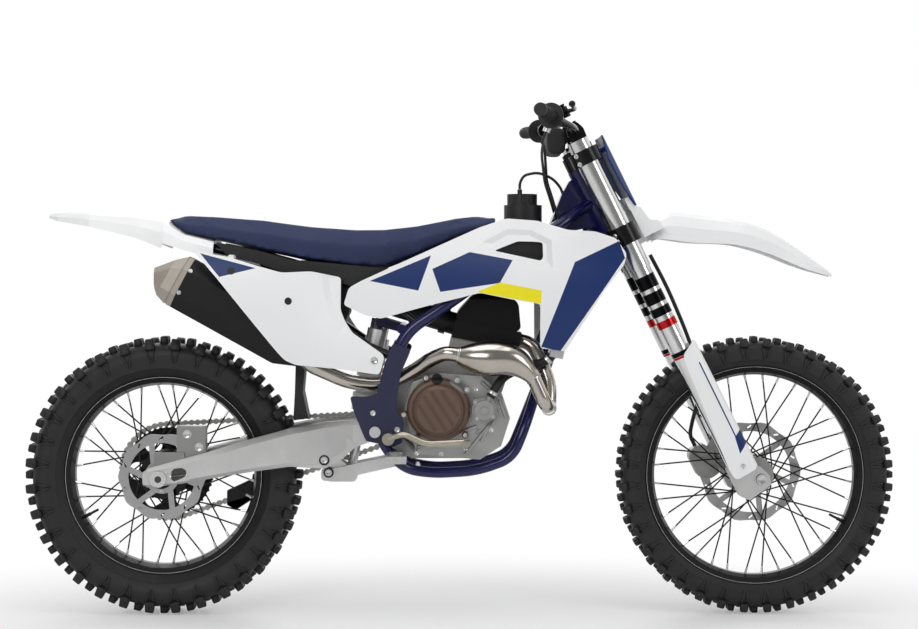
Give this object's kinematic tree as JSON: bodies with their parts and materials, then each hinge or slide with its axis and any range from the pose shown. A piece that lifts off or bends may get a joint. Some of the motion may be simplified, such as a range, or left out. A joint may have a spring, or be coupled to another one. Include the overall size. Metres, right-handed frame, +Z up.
{
  "type": "motocross bike",
  "caption": "Motocross bike with knobbly tyres on spoked wheels, long fork, open engine with looped exhaust, slim seat and white and blue bodywork; it steers and both wheels turn",
  "frame": {"origin": "top of the seat at its lowest point, on the centre plane: the rider's mount", "axes": "+X to the front of the bike, +Y to its left, +Z up; the bike stands level on both wheels"},
  "size_m": [2.193, 0.8432, 1.2714],
  "materials": {
    "black_alloy": "black anodised, satin",
    "black_plastic": "moulded, matt",
    "black_rubber": "matt",
    "blue_plastic": "moulded, gloss",
    "bronze_cover": "bronze paint, satin",
    "chain_steel": "oiled",
    "chrome": "polished",
    "fork_silver": "anodised, smooth",
    "frame_blue": "powder coat, gloss",
    "header_steel": "heat tinted",
    "pad_foam": "matt cover",
    "seat_cover": "grip cover, fine grain",
    "silencer_black": "satin black",
    "silver_alloy": "cast, satin",
    "silver_steel": "machined",
    "slate_plastic": "fine grain, matt",
    "spoke_black": "black, satin",
    "spring_white": "powder coat",
    "tyre": "knobbly rubber, matt",
    "white_plastic": "moulded, gloss"
  },
  "bodies": {
    "chassis": {"drive_sprocket": "silver_steel", "chain": "chain_steel", "rear_axle": "silver_steel", "swingarm": "silver_alloy", "frame": "frame_blue", "frame_cradle": "frame_blue", "subframe": "black_alloy", "shock": "silver_alloy", "shock_spring": "spring_white", "shock_linkage": "silver_alloy", "mud_flap": "black_plastic", "rear_caliper": "black_alloy", "engine_cases": "silver_alloy", "engine_covers": "bronze_cover", "cylinder": "silver_alloy", "cylinder_head": "black_alloy", "exhaust_header": "header_steel", "silencer": "silencer_black", "radiators": "silver_alloy", "fuel_tank": "black_plastic", "filler_cap": "black_plastic", "hoses": "black_rubber", "seat": "seat_cover", "shrouds": "white_plastic", "side_panels": "white_plastic", "rear_fender": "white_plastic", "intake": "black_plastic", "footpegs": "silver_steel", "foot_levers": "black_alloy", "control_cables": "black_rubber", "frame_guards": "slate_plastic"},
    "steering": {"fork_outer_tubes": "fork_silver", "fork_inner_tubes": "chrome", "fork_lugs": "silver_alloy", "front_axle": "silver_steel", "triple_clamps": "black_alloy", "fork_guards": "white_plastic", "front_fender": "white_plastic", "number_plate": "blue_plastic", "handlebar": "black_alloy", "bar_mounts": "black_alloy", "bar_pad": "pad_foam", "grips": "black_rubber", "throttle_housing": "silver_alloy", "hand_levers": "black_alloy", "front_caliper": "black_alloy", "front_brake_hose": "black_rubber"},
    "front_wheel": {"front_tyre": "tyre", "front_rim": "black_alloy", "front_hub": "black_alloy", "front_spokes": "spoke_black", "front_disc": "silver_steel"},
    "rear_wheel": {"rear_tyre": "tyre", "rear_rim": "black_alloy", "rear_hub": "black_alloy", "rear_spokes": "spoke_black", "rear_disc": "silver_steel", "rear_sprocket": "silver_alloy"}
  },
  "joints": [
    {"name": "steering_turn", "type": "hinge", "parent": "chassis", "child": "steering", "pos_m": [0.9355, 0, -0.616], "axis": [-0.4399, 0, 0.898], "range_deg": [-45, 45], "deforming": ["control_cables"]},
    {"name": "front_wheel_spin", "type": "hinge", "parent": "steering", "child": "front_wheel", "pos_m": [1.003, 0, -0.616], "axis": [0, 1, 0], "continuous": true},
    {"name": "rear_wheel_spin", "type": "hinge", "parent": "chassis", "child": "rear_wheel", "pos_m": [-0.49, 0, -0.616], "axis": [0, 1, 0], "continuous": true}
  ]
}
